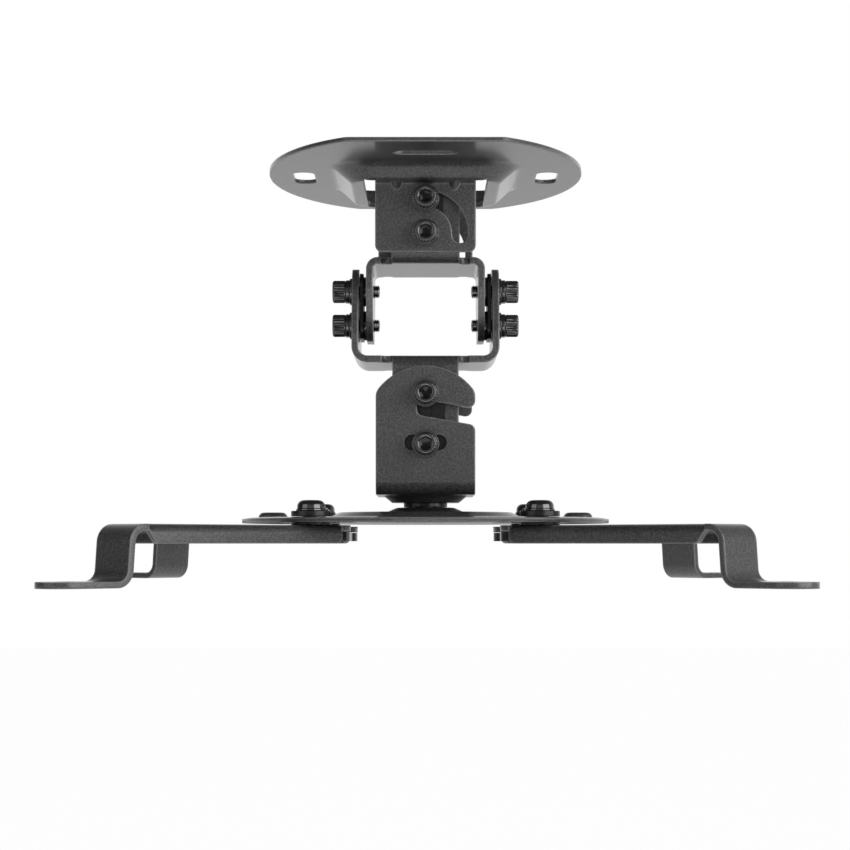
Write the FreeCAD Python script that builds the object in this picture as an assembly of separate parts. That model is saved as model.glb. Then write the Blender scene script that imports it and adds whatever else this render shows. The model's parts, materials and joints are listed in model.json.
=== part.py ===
import FreeCAD, Part
import math
import os
from FreeCAD import Vector

# Projector ceiling mount. Millimetres, +Z up. The origin is the middle of the
# face that lies on the ceiling, and the whole mount hangs below it. X runs from
# left to right and Y from front to rear. Five folded or pressed sheets hang
# under each other, and each joint has a pivot screw and a lock screw in a slot.

# Clearances
running_gap = 0.3          # between flat faces that turn past each other
washer_gap = 0.15          # under a washer that turns with its screw
thread_gap = 0.05          # around a screw in its tapped hole
screw_gap = 0.3            # around a screw in a plain hole
slot_gap = 0.45            # on each side of a lock screw in its slot
axial_gap = 0.2            # at the faces of the swivel and the arm clamps

# Degrees from one side of a square corner to the other
right_angle = 90.0

# Ceiling plate: an oval pressed sheet with a dish, a window and two lugs
plate_sheet = 1.5
plate_half_x = 58.5
plate_half_y = 86.5
plate_flat_y = 76.5
plate_corner_radius = 4.0
dish_depth = 6.1
dish_rim_x = 34.0
dish_rim_beyond_floor_y = 3.1
dish_floor_x = 27.0
dish_floor_beyond_window = 1.4
dish_rim_radius = 15.0
dish_floor_radius = 10.0
dish_wall_inset = 0.55
dish_rim_bend_radius = 5.0
dish_floor_bend_radius = 2.2
window_half_x = 22.3
window_beyond_lug = 3.0
side_slot_x = 45.5
side_slot_length = 25.0
end_slot_y = 54.5
end_slot_length = 23.0
ceiling_slot_width = 8.0
lug_span = 58.0
lug_width = 36.7
lug_corner_radius = 2.6
lug_bend_radius = 1.0
lug_lock_below_floor = 6.1
lug_screw_pitch = 12.6
lug_below_pivot = 6.8
lug_slot_sweep = 93.0
gusset_x = 10.5
gusset_radius = 1.9
gusset_reach = 0.2

# Friction plates between the lugs and the upper yoke's ears
lug_spacer_sheet = 1.3
lug_spacer_width = 13.2
lug_spacer_above_lock = 5.0
lug_spacer_below_pivot = 4.9
lug_spacer_corner = 3.3

# Sheet and widths of the two yokes and the swivel bracket
yoke_sheet = 2.5
yoke_half_y = 21.0
yoke_relief_radius = 2.0
ear_bend_radius = 2.5
ear_corner_radius = 5.0
upper_leg_bend_radius = 1.8
lower_leg_bend_radius = 3.4
leg_end_radius = 13.0
leg_end_half = 14.5
leg_straight = 10.0

# Upper yoke: ears up inside the lugs, legs down at the sides
upper_web_below_lug = 0.8
upper_span_x = 43.8
upper_ear_width = 25.0
upper_ear_above_lock = 5.5
side_pivot_below_web = 10.5
side_screw_pitch = 12.8
upper_leg_below_lock = 6.5
roll_limit = 15.0

# Spacer plates and washers between the legs of the two yokes
side_spacer_sheet = 1.3
side_spacer_boss = 1.25
side_spacer_boss_radius = 5.5
side_spacer_half_y = 11.0
side_spacer_above_pivot = 6.0
side_spacer_below_lock = 5.6
side_spacer_corner = 4.0

# Lower yoke: legs up outside the upper yoke, ears down inside the bracket
lower_leg_above_pivot = 7.8
lower_web_below_upper = 6.4
lower_ear_width = 24.3
hook_below_web = 12.0
hook_to_tilt_lock = 18.5
lower_ear_below_lock = 6.2
hook_spacer_sheet = 1.3
hook_spacer_width = 14.6
hook_spacer_above_hook = 6.3
hook_spacer_corner = 3.3

# Swivel bracket: two plates and a web, with open hooks and tilt slots
bracket_width = 36.3
bracket_span_y = 58.0
bracket_above_hook = 10.1
bracket_crown_radius = 21.9
bracket_shoulder_radius = 5.0
bracket_bend_radius = 3.0
bracket_web_below_ears = 9.6
tilt_limit = 15.0
hook_half_width = 3.1
hook_pocket_depth = 7.8
hook_lip_drop = 3.0
hook_slope = 10.0
hook_corner_radius = 2.2
hook_tip_radius = 2.6
bracket_emboss_depth = 2.6
bracket_emboss_top = 15.8
bracket_emboss_floor = 12.6

# Swivel: low-headed bolt from below, washers, neck spacer and lock nut on the vertical axis
swivel_bolt_radius = 4.0
swivel_head_across = 13.0
swivel_head_height = 2.4
swivel_nut_height = 6.5
swivel_washer_radius = 8.0
swivel_head_washer_sheet = 1.0
swivel_nut_washer_sheet = 1.6
neck_spacer_radius = 8.2
neck_spacer_height = 1.6
swivel_bolt_tail = 1.5

# Spider plate: a round stepped pressing with a drooping rim
spider_sheet = 1.5
spider_radius = 69.0
hub_top_radius = 10.7
hub_base_radius = 14.9
hub_rise = 1.8
plateau_radius = 32.4
plateau_rise = 2.1
plateau_slope = 4.1
rim_width = 2.8
rim_droop = 0.5
spider_bend_radius = 1.0
dimple_inner = 52.0
dimple_outer = 63.0
dimple_width = 9.0
dimple_rise = 2.1
dimple_round = 2.0

# Arms and their clamps
arm_sheet = 2.2
arm_width = 18.3
arm_inner = 42.0
arm_tip = 175.2
arm_drop_face = 145.5
arm_drop = 21.2
arm_drop_lean = 1.5
arm_bend_radius = 4.2
arm_flange_height = 6.6
arm_flange_bend = 1.2
arm_flange_end = 138.0
arm_flange_corner = 2.5
arm_flange_slope = 3.2
arm_slot_inner = 46.5
arm_slot_outer = 128.0
foot_hole_reach = 165.0
foot_hole_radius = 3.2
clamp_reach = 58.0
clamp_bolt_radius = 2.95
clamp_head_radius = 5.05
clamp_head_height = 3.1
clamp_head_round = 2.3
clamp_washer_radius = 5.4
clamp_washer_sheet = 0.8
clamp_spacer_radius = 7.2
clamp_spacer_height = 1.9
clamp_pad_sheet = 1.3
clamp_nut_length = 34.2
clamp_nut_height = 3.3
clamp_bolt_tail = 0.5

# Direction of each arm as it is swung on its clamp, in degrees from the side axis
front_left_arm_angle = 45.0
front_right_arm_angle = 44.0
rear_arm_angle = 40.5

# Small socket-cap screws with a spring washer and a flat washer each
screw_radius = 2.45
screw_head_radius = 4.2
screw_head_height = 5.0
screw_socket_across = 4.0
screw_socket_depth = 2.6
screw_chamfer = 0.45
screw_tip = 2.2
flat_washer_radius = 5.0
flat_washer_sheet = 1.1
spring_washer_radius = 4.4
spring_washer_sheet = 1.5
spring_washer_split = 0.6

# Levels below the ceiling, worked out from the sizes above
floor_z = -(dish_depth + plate_sheet)
lug_lock_z = floor_z - lug_lock_below_floor
lug_pivot_z = lug_lock_z - lug_screw_pitch
lug_end_z = lug_pivot_z - lug_below_pivot
upper_web_z = lug_end_z - upper_web_below_lug
side_pivot_z = upper_web_z - side_pivot_below_web
side_lock_z = side_pivot_z - side_screw_pitch
upper_leg_end_z = side_lock_z - upper_leg_below_lock
lower_web_top_z = upper_leg_end_z - lower_web_below_upper
lower_web_z = lower_web_top_z - yoke_sheet
hook_z = lower_web_z - hook_below_web
tilt_lock_z = hook_z - hook_to_tilt_lock
lower_ear_end_z = tilt_lock_z - lower_ear_below_lock
bracket_web_top_z = lower_ear_end_z - bracket_web_below_ears
bracket_web_z = bracket_web_top_z - yoke_sheet
emboss_z = bracket_web_z - bracket_emboss_depth
hub_top_z = emboss_z - neck_spacer_height - axial_gap
plateau_z = hub_top_z - hub_rise
spider_top_z = plateau_z - plateau_rise
spider_z = spider_top_z - spider_sheet
arm_top_z = spider_z - clamp_pad_sheet - axial_gap
foot_z = arm_top_z - arm_drop

# Faces across, worked out from the sizes above
lug_face_y = lug_span / 2
window_half_y = lug_face_y + window_beyond_lug
dish_floor_y = window_half_y + dish_floor_beyond_window
dish_rim_y = dish_floor_y + dish_rim_beyond_floor_y
lug_spacer_face_y = lug_face_y - plate_sheet - running_gap
upper_ear_face_y = lug_spacer_face_y - lug_spacer_sheet
upper_leg_face_x = upper_span_x / 2
side_spacer_x = upper_leg_face_x + side_spacer_boss
lower_leg_inner_x = side_spacer_x + side_spacer_sheet + running_gap
lower_leg_face_x = lower_leg_inner_x + yoke_sheet
bracket_face_y = bracket_span_y / 2
hook_spacer_face_y = bracket_face_y - yoke_sheet - running_gap
lower_ear_face_y = hook_spacer_face_y - hook_spacer_sheet
plain_hole = screw_radius + screw_gap
tapped_hole = screw_radius + thread_gap
slot_half = screw_radius + slot_gap
swivel_hole = swivel_bolt_radius + screw_gap
clamp_hole = clamp_bolt_radius + screw_gap
clamp_nut_width = arm_width - 2 * (arm_sheet + arm_flange_bend + axial_gap)
arm_flange_start = arm_inner + arm_width / 2
clamp_side = clamp_reach / math.sqrt(2)

X = Vector(1, 0, 0)
Y = Vector(0, 1, 0)
Z = Vector(0, 0, 1)


def xy(u, v):
    return Vector(u, v, 0)


def xz(u, v):
    return Vector(u, 0, v)


def yz(u, v):
    return Vector(0, u, v)


def unit(vector):
    return vector / vector.Length


def corner_arc(before, corner, after, radius):
    """First point, middle and last point of the arc that rounds a corner."""
    back = unit(before - corner)
    forward = unit(after - corner)
    half_angle = back.getAngle(forward) / 2
    reach = radius / math.tan(half_angle)
    inward = unit(back + forward)
    centre = corner + inward * (radius / math.sin(half_angle))
    return corner + back * reach, centre - inward * radius, corner + forward * reach


def rounded_path(points, radii):
    """Edges of an open line of points, with an arc at each inner corner."""
    edges = []
    start = points[0]
    for index, radius in enumerate(radii, 1):
        first, middle, last = corner_arc(points[index - 1], points[index], points[index + 1], radius)
        edges.append(Part.makeLine(start, first))
        edges.append(Part.Arc(first, middle, last).toShape())
        start = last
    edges.append(Part.makeLine(start, points[-1]))
    return edges


def rounded_loop(points, radii):
    """Face inside a closed line of points, rounded where the radius isn't 0."""
    count = len(points)
    arcs = []
    for index, radius in enumerate(radii):
        if radius:
            arcs.append(corner_arc(points[index - 1], points[index], points[(index + 1) % count], radius))
        else:
            arcs.append((points[index],))
    edges = []
    for index, arc in enumerate(arcs):
        if len(arc) == 3:
            edges.append(Part.Arc(arc[0], arc[1], arc[2]).toShape())
        following = arcs[(index + 1) % count]
        if arc[-1].distanceToPoint(following[0]) > 0.001:
            edges.append(Part.makeLine(arc[-1], following[0]))
    return Part.Face(Part.Wire(edges))


def folded_face(points, inner_radius, sheet, normal):
    """Section of a folded sheet whose middle line runs through the points."""
    steps = [unit(after - before) for before, after in zip(points, points[1:])]
    lefts = [normal.cross(step) for step in steps]
    sides = []
    for side in (1, -1):
        shift = side * sheet / 2
        line = [points[0] + lefts[0] * shift]
        radii = []
        for index in range(1, len(points) - 1):
            before = lefts[index - 1]
            after = lefts[index]
            line.append(points[index] + (before + after) * (shift / (1 + before.dot(after))))
            turn = normal.dot(steps[index - 1].cross(steps[index]))
            radii.append(inner_radius if turn * side > 0 else inner_radius + sheet)
        line.append(points[-1] + lefts[-1] * shift)
        sides.append((rounded_path(line, radii), line))
    (left_edges, left_line), (right_edges, right_line) = sides
    caps = [Part.makeLine(left_line[0], right_line[0]), Part.makeLine(left_line[-1], right_line[-1])]
    return Part.Face(Part.Wire(Part.__sortEdges__(left_edges + right_edges + caps)))


def through(face, direction, half_length):
    """Extrude a face by the same length to both sides of its plane."""
    moved = face.copy()
    moved.translate(direction * -half_length)
    return moved.extrude(direction * (2 * half_length))


def stadium(plane, centre_u, centre_v, length, width, along_u=True):
    """Face of a slot with round ends."""
    half = length / 2
    side = width / 2
    if not along_u:
        half, side = side, half
    points = [plane(centre_u - half, centre_v - side), plane(centre_u + half, centre_v - side),
              plane(centre_u + half, centre_v + side), plane(centre_u - half, centre_v + side)]
    return rounded_loop(points, [width / 2] * 4)


def arc_slot(plane, centre_v, radius, half_width, start, end):
    """Face of a slot that follows an arc about a pivot, angles in degrees."""
    def at(reach, angle):
        radians = math.radians(angle)
        return plane(reach * math.cos(radians), centre_v + reach * math.sin(radians))

    inner = radius - half_width
    outer = radius + half_width
    middle = (start + end) / 2
    beyond_end = at(radius, end) + (at(1, end + right_angle) - at(0, 0)) * half_width
    before_start = at(radius, start) + (at(1, start - right_angle) - at(0, 0)) * half_width
    edges = [Part.Arc(at(outer, start), at(outer, middle), at(outer, end)).toShape(),
             Part.Arc(at(outer, end), beyond_end, at(inner, end)).toShape(),
             Part.Arc(at(inner, end), at(inner, middle), at(inner, start)).toShape(),
             Part.Arc(at(inner, start), before_start, at(outer, start)).toShape()]
    return Part.Face(Part.Wire(edges))


def rod(radius, base, top):
    """Cylinder between two points."""
    return Part.makeCylinder(radius, (top - base).Length, base, top - base)


def ring(radius, hole, height, base, direction):
    """Washer or spacer that stands on a base point."""
    outer = Part.makeCylinder(radius, height, base, direction)
    return outer.cut(Part.makeCylinder(hole, height, base, direction))


def hexagon(across, height, base):
    """Six-sided prism that stands on a base point, +Z up."""
    reach = across / math.sqrt(3)
    corners = [Vector(reach * math.cos(math.radians(60 * k)), reach * math.sin(math.radians(60 * k)), 0)
               for k in range(6)]
    prism = Part.Face(Part.makePolygon(corners + corners[:1])).extrude(Z * height)
    prism.translate(base)
    return prism


def on_axis(shape, base, direction):
    """Turn a shape that was made along +Z to another direction and place it."""
    placed = shape.copy()
    placed.Placement = FreeCAD.Placement(base, FreeCAD.Rotation(Z, direction))
    return placed


def cap_screw(length):
    """Socket-cap screw along +Z: the head stands on the origin, the shank hangs below."""
    head = Part.makeCylinder(screw_head_radius, screw_head_height)
    top_edge = [edge for edge in head.Edges if abs(edge.CenterOfMass.z - screw_head_height) < 0.01]
    head = head.makeChamfer(screw_chamfer, top_edge)
    socket = hexagon(screw_socket_across, screw_socket_depth, Z * (screw_head_height - screw_socket_depth))
    shank = rod(screw_radius, -Z * (length - screw_chamfer), Vector(0, 0, 0))
    point = Part.makeCone(screw_radius - screw_chamfer, screw_radius, screw_chamfer, -Z * length)
    return head.cut(socket).fuse(shank).fuse(point).removeSplitter()


def spring_washer():
    """Split ring along +Z that stands on the origin."""
    washer = ring(spring_washer_radius, plain_hole, spring_washer_sheet, Vector(0, 0, 0), Z)
    split = Part.makeBox(spring_washer_radius, spring_washer_split, 2 * spring_washer_sheet,
                         Vector(0, -spring_washer_split / 2, -spring_washer_sheet / 2))
    split.rotate(Z * (spring_washer_sheet / 2), X, 20)
    return washer.cut(split)


def joint_fastener(face_point, outward, grip):
    """Screw, flat washer and spring washer on a face, for a grip down to the tapped sheet's far side."""
    flat_base = face_point + outward * washer_gap
    spring_base = flat_base + outward * flat_washer_sheet
    head_base = spring_base + outward * spring_washer_sheet
    length = grip + screw_tip + washer_gap + flat_washer_sheet + spring_washer_sheet
    screw = on_axis(cap_screw(length), head_base, outward)
    flat = ring(flat_washer_radius, plain_hole, flat_washer_sheet, flat_base, outward)
    spring = on_axis(spring_washer(), spring_base, outward)
    return screw, flat, spring


def dish_body(rim_z, floor, inset):
    """Tapered dish with round corners, from its rim level to its floor level."""
    wires = []
    for half_x, half_y, radius, level in (
            (dish_rim_x - inset, dish_rim_y - inset, dish_rim_radius, rim_z),
            (dish_floor_x - inset, dish_floor_y - inset, dish_floor_radius, floor)):
        corners = [Vector(-half_x, -half_y, level), Vector(half_x, -half_y, level),
                   Vector(half_x, half_y, level), Vector(-half_x, half_y, level)]
        wires.append(rounded_loop(corners, [radius] * 4).OuterWire)
    return Part.makeLoft(wires, True, True)


def edges_at(shape, level, half_x, half_y):
    """Edges of a shape that lie at one level within a half width and depth."""
    found = []
    for edge in shape.Edges:
        box = edge.BoundBox
        flat = abs(box.ZMin - level) < 0.01 and abs(box.ZMax - level) < 0.01
        if flat and box.XMax < half_x and box.XMin > -half_x and box.YMax < half_y and box.YMin > -half_y:
            found.append(edge)
    return found


def lug(side):
    """One lug: bent down from the end of the window, with round lower corners and two gussets."""
    middle_y = side * (lug_face_y - plate_sheet / 2)
    middle_z = floor_z + plate_sheet / 2
    root_y = side * window_half_y
    points = [yz(root_y, middle_z), yz(middle_y, middle_z), yz(middle_y, lug_end_z)]
    strip = through(folded_face(points, lug_bend_radius, plate_sheet, X), X, lug_width / 2)
    half = lug_width / 2
    outline = rounded_loop([xz(-half, lug_end_z), xz(half, lug_end_z), xz(half, 0), xz(-half, 0)],
                           [lug_corner_radius, lug_corner_radius, 0, 0])
    strip = strip.common(through(outline, Y, plate_half_y))
    corner = Part.makeBox(lug_width, dish_floor_y - lug_face_y, -lug_end_z + floor_z)
    corner.translate(Vector(-half, lug_face_y if side > 0 else -dish_floor_y, lug_end_z))
    for gusset_side in (-1, 1):
        start = Vector(gusset_side * gusset_x, side * (lug_face_y + gusset_reach), floor_z)
        end = Vector(gusset_side * gusset_x, side * lug_face_y, floor_z - gusset_reach)
        run = unit(end - start) * dish_depth
        strip = strip.fuse(rod(gusset_radius, start - run, end + run).common(corner))
    return strip


def ceiling_plate():
    """Oval sheet with a pressed dish, a window, four ceiling slots and two slotted lugs."""
    oval = Part.Face(Part.Wire(Part.Ellipse(xy(0, plate_half_y), xy(plate_half_x, 0), xy(0, 0)).toShape()))
    band = Part.makeBox(2 * plate_half_x, 2 * plate_flat_y, plate_sheet)
    band.translate(Vector(-plate_half_x, -plate_flat_y, -plate_sheet))
    body = oval.extrude(-Z * plate_sheet).common(band)
    corners = [edge for edge in body.Edges if abs(edge.tangentAt(edge.FirstParameter).z) > 0.99
               and abs(abs(edge.CenterOfMass.y) - plate_flat_y) < 0.01]
    body = body.makeFillet(plate_corner_radius, corners)
    body = body.fuse(dish_body(-plate_sheet, floor_z, 0)).removeSplitter()
    body = body.makeFillet(dish_rim_bend_radius, edges_at(body, -plate_sheet, dish_rim_x + 1, dish_rim_y + 1))
    body = body.makeFillet(dish_floor_bend_radius, edges_at(body, floor_z, dish_rim_x, dish_rim_y))
    cavity = dish_body(0, -dish_depth, dish_wall_inset)
    cavity = cavity.makeFillet(dish_floor_bend_radius / 2, edges_at(cavity, -dish_depth, dish_rim_x, dish_rim_y))
    body = body.cut(cavity)
    body = body.makeFillet(dish_rim_bend_radius, edges_at(body, 0, dish_rim_x + 1, dish_rim_y + 1))
    window = Part.makeBox(2 * window_half_x, 2 * window_half_y, -floor_z)
    window.translate(Vector(-window_half_x, -window_half_y, floor_z))
    body = body.cut(window)
    for side in (-1, 1):
        body = body.fuse(lug(side))
        slot = stadium(xy, side * side_slot_x, 0, side_slot_length, ceiling_slot_width, along_u=False)
        body = body.cut(through(slot, Z, plate_sheet))
        slot = stadium(xy, 0, side * end_slot_y, end_slot_length, ceiling_slot_width)
        body = body.cut(through(slot, Z, plate_sheet))
    pivot = Z * lug_pivot_z
    body = body.cut(rod(plain_hole, pivot - Y * plate_half_y, pivot + Y * plate_half_y))
    sweep = arc_slot(xz, lug_pivot_z, lug_screw_pitch, slot_half, right_angle - lug_slot_sweep, right_angle)
    return body.cut(through(sweep, Y, plate_half_y)).removeSplitter()


def leg_outline(web_z, end_z, up):
    """Outline of a yoke's two legs, seen from the side: wide at the web, round at the end."""
    straight = web_z + up * leg_straight
    beyond = web_z - up * yoke_sheet
    points = [yz(-yoke_half_y, beyond), yz(-yoke_half_y, straight), yz(-leg_end_half, end_z),
              yz(leg_end_half, end_z), yz(yoke_half_y, straight), yz(yoke_half_y, beyond)]
    shoulder = leg_end_radius / 2
    return rounded_loop(points, [0, shoulder, leg_end_radius, leg_end_radius, shoulder, 0])


def ear_outline(half, web_z, end_z, up):
    """Outline of a yoke's two ears, seen from the front."""
    beyond = web_z - up * yoke_sheet
    points = [xz(-half, beyond), xz(-half, end_z), xz(half, end_z), xz(half, beyond)]
    return rounded_loop(points, [0, ear_corner_radius, ear_corner_radius, 0])


def yoke(web_middle_z, leg_face_x, leg_end_z, leg_bend_radius, ear_face_y, ear_half, ear_end_z):
    """Cross-shaped sheet: two legs folded one way and two ears folded the other."""
    legs_up = 1 if leg_end_z > web_middle_z else -1
    leg_x = leg_face_x - yoke_sheet / 2
    ear_y = ear_face_y - yoke_sheet / 2
    web_z = web_middle_z
    leg_line = [xz(-leg_x, leg_end_z), xz(-leg_x, web_z), xz(leg_x, web_z), xz(leg_x, leg_end_z)]
    ear_line = [yz(-ear_y, ear_end_z), yz(-ear_y, web_z), yz(ear_y, web_z), yz(ear_y, ear_end_z)]
    legs = through(folded_face(leg_line, leg_bend_radius, yoke_sheet, -Y), Y, yoke_half_y)
    legs = legs.common(through(leg_outline(web_middle_z, leg_end_z, legs_up), X, leg_face_x + yoke_sheet))
    ears = through(folded_face(ear_line, ear_bend_radius, yoke_sheet, X), X, ear_half)
    outline = ear_outline(ear_half, web_z, ear_end_z, -legs_up)
    ears = ears.common(through(outline, Y, ear_face_y + yoke_sheet))
    flat_y = ear_face_y - yoke_sheet - ear_bend_radius
    for side_y in (-1, 1):
        bend = Part.makeBox(2 * ear_half, yoke_half_y, 2 * yoke_sheet)
        bend.translate(Vector(-ear_half, flat_y if side_y > 0 else -flat_y - yoke_half_y, web_z - yoke_sheet))
        legs = legs.cut(bend)
    body = legs.fuse(ears)
    for side_x in (-1, 1):
        for side_y in (-1, 1):
            middle = Vector(side_x * (ear_half + yoke_relief_radius), side_y * yoke_half_y, web_middle_z)
            body = body.cut(rod(yoke_relief_radius, middle - Z * yoke_sheet, middle + Z * yoke_sheet))
    return body


def upper_yoke():
    body = yoke(upper_web_z - yoke_sheet / 2, upper_leg_face_x, upper_leg_end_z, upper_leg_bend_radius,
                upper_ear_face_y, upper_ear_width / 2, lug_lock_z + upper_ear_above_lock)
    for level in (lug_lock_z, lug_pivot_z):
        body = body.cut(rod(tapped_hole, Vector(0, -lug_face_y, level), Vector(0, lug_face_y, level)))
    for level in (side_pivot_z, side_lock_z):
        body = body.cut(rod(tapped_hole, Vector(-lug_face_y, 0, level), Vector(lug_face_y, 0, level)))
    return body.removeSplitter()


def lower_yoke():
    body = yoke(lower_web_z + yoke_sheet / 2, lower_leg_face_x, side_pivot_z + lower_leg_above_pivot,
                lower_leg_bend_radius, lower_ear_face_y, lower_ear_width / 2, lower_ear_end_z)
    body = body.cut(rod(plain_hole, Vector(-lower_leg_face_x, 0, side_pivot_z),
                        Vector(lower_leg_face_x, 0, side_pivot_z)))
    slot = arc_slot(yz, side_pivot_z, side_screw_pitch, slot_half, -90 - roll_limit, -90 + roll_limit)
    body = body.cut(through(slot, X, lower_leg_face_x))
    for level in (hook_z, tilt_lock_z):
        body = body.cut(rod(tapped_hole, Vector(0, -bracket_face_y, level), Vector(0, bracket_face_y, level)))
    return body.removeSplitter()


def spacer_plate(plane, half_width, low, high, radius, thickness, direction, start):
    """Thin plate with round corners, from its inner face outwards."""
    outline = rounded_loop([plane(-half_width, low), plane(half_width, low),
                            plane(half_width, high), plane(-half_width, high)], [radius] * 4)
    outline.translate(direction * start)
    return outline.extrude(direction * thickness)


def lug_spacer(side):
    """Friction plate between a lug and the upper yoke's ear."""
    direction = Y * side
    plate = spacer_plate(xz, lug_spacer_width / 2, lug_pivot_z - lug_spacer_below_pivot,
                         lug_lock_z + lug_spacer_above_lock, lug_spacer_corner,
                         lug_spacer_sheet, direction, upper_ear_face_y)
    for level in (lug_lock_z, lug_pivot_z):
        plate = plate.cut(rod(plain_hole, Z * level, Z * level + direction * lug_face_y))
    return plate


def side_spacer(side):
    """Friction plate between the legs of the two yokes, held by both side screws."""
    direction = X * side
    plate = spacer_plate(yz, side_spacer_half_y, side_lock_z - side_spacer_below_lock,
                         side_pivot_z + side_spacer_above_pivot, side_spacer_corner,
                         side_spacer_sheet, direction, side_spacer_x)
    for level in (side_pivot_z, side_lock_z):
        plate = plate.cut(rod(plain_hole, Z * level, Z * level + direction * lower_leg_face_x))
    return plate


def side_spacer_bosses(side):
    """Two washers between the upper yoke's leg and the friction plate."""
    return [ring(side_spacer_boss_radius, plain_hole, side_spacer_boss,
                 Vector(side * upper_leg_face_x, 0, level), X * side)
            for level in (side_pivot_z, side_lock_z)]


def hook_spacer(side):
    """Friction plate between the lower yoke's ear and the swivel bracket."""
    direction = Y * side
    plate = spacer_plate(xz, hook_spacer_width / 2, lower_ear_end_z, hook_z + hook_spacer_above_hook,
                         hook_spacer_corner, hook_spacer_sheet, direction, lower_ear_face_y)
    for level in (hook_z, tilt_lock_z):
        plate = plate.cut(rod(plain_hole, Z * level, Z * level + direction * bracket_face_y))
    return plate


def bracket_outline():
    """Outline of the bracket's plates from the front: round crown, shoulders and straight sides."""
    half = bracket_width / 2
    crown_z = hook_z + bracket_above_hook
    middle_z = crown_z - bracket_crown_radius
    shoulder_z = middle_z + math.sqrt(bracket_crown_radius ** 2 - half ** 2)
    edges = [Part.Arc(xz(-half, shoulder_z), xz(0, crown_z), xz(half, shoulder_z)).toShape(),
             Part.makeLine(xz(half, shoulder_z), xz(half, bracket_web_z)),
             Part.makeLine(xz(half, bracket_web_z), xz(-half, bracket_web_z)),
             Part.makeLine(xz(-half, bracket_web_z), xz(-half, shoulder_z))]
    prism = through(Part.Face(Part.Wire(edges)), Y, bracket_face_y + yoke_sheet)
    shoulders = [edge for edge in prism.Edges if abs(edge.tangentAt(edge.FirstParameter).y) > 0.99
                 and abs(edge.CenterOfMass.z - shoulder_z) < 0.01]
    return prism.makeFillet(bracket_shoulder_radius, shoulders)


def hook_cut():
    """Pocket around the hook screw and the sloping mouth that opens to the right."""
    rise = math.tan(math.radians(hook_slope))
    right = bracket_width
    top = hook_z - hook_lip_drop
    low = hook_z - hook_pocket_depth
    upper_mouth = [xz(-hook_half_width, hook_z), xz(-hook_half_width, low),
                   xz(right, low - rise * (right + hook_half_width)),
                   xz(right, top - rise * (right - hook_half_width)),
                   xz(hook_half_width, top), xz(hook_half_width, hook_z)]
    mouth = rounded_loop(upper_mouth, [0, hook_corner_radius, 0, 0, 0, 0])
    seat = rod(hook_half_width, Vector(0, -bracket_face_y, hook_z), Vector(0, bracket_face_y, hook_z))
    return through(mouth, Y, bracket_face_y).fuse(seat)


def swivel_bracket():
    """U-shaped sheet with open hooks, tilt slots and a round emboss under its web."""
    plate_y = bracket_face_y - yoke_sheet / 2
    web_z = bracket_web_z + yoke_sheet / 2
    line = [yz(-plate_y, hook_z + bracket_above_hook), yz(-plate_y, web_z),
            yz(plate_y, web_z), yz(plate_y, hook_z + bracket_above_hook)]
    body = through(folded_face(line, bracket_bend_radius, yoke_sheet, X), X, bracket_width / 2)
    body = body.common(bracket_outline()).cut(hook_cut())
    slot = arc_slot(xz, hook_z, hook_to_tilt_lock, slot_half, -90 - tilt_limit, -90 + tilt_limit)
    body = body.cut(through(slot, Y, bracket_face_y))
    tips = [edge for edge in body.Edges if abs(edge.tangentAt(edge.FirstParameter).y) > 0.99
            and abs(edge.CenterOfMass.x - bracket_width / 2) < 0.01
            and hook_z - 3 * hook_pocket_depth < edge.CenterOfMass.z < hook_z - hook_lip_drop]
    body = body.makeFillet(hook_tip_radius, tips)
    emboss = Part.makeCone(bracket_emboss_floor, bracket_emboss_top, bracket_emboss_depth, Z * emboss_z)
    recess = Part.makeCone(bracket_emboss_floor - yoke_sheet / 2, bracket_emboss_top - yoke_sheet / 2,
                           bracket_emboss_depth, Z * (emboss_z + yoke_sheet))
    body = body.fuse(emboss).cut(recess)
    return body.cut(rod(swivel_hole, Z * emboss_z, Z * bracket_web_top_z)).removeSplitter()


def swivel_levels():
    """Levels on the swivel axis: under the bolt's head, head washer, nut washer, nut and nut's top."""
    head_washer_z = hub_top_z - spider_sheet - axial_gap - swivel_head_washer_sheet
    nut_washer_z = emboss_z + yoke_sheet
    nut_z = nut_washer_z + swivel_nut_washer_sheet
    return head_washer_z - swivel_head_height, head_washer_z, nut_washer_z, nut_z, nut_z + swivel_nut_height


def swivel_bolt():
    """Low hexagon-head bolt that comes up through the hub and carries the spider plate."""
    head_z, seat_z = swivel_levels()[:2]
    end_z = swivel_levels()[-1] + swivel_bolt_tail
    head = hexagon(swivel_head_across, swivel_head_height, Z * head_z)
    half = swivel_head_across / 2
    dome = Part.makeCone(half, half + 2, swivel_head_height, Z * head_z)
    shank = rod(swivel_bolt_radius, Z * seat_z, Z * end_z)
    return head.common(dome).fuse(shank).removeSplitter()


def swivel_nut():
    """Lock nut with a round collar at its upper end."""
    nut_z, top_z = swivel_levels()[-2:]
    collar = swivel_nut_height / 3
    nut = hexagon(swivel_head_across, swivel_nut_height - collar, Z * nut_z)
    cap = Part.makeCone(swivel_head_across / 2, swivel_head_across / 2 - 1, collar, Z * (top_z - collar))
    return nut.fuse(cap).cut(rod(swivel_bolt_radius + thread_gap, Z * nut_z, Z * top_z))


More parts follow.
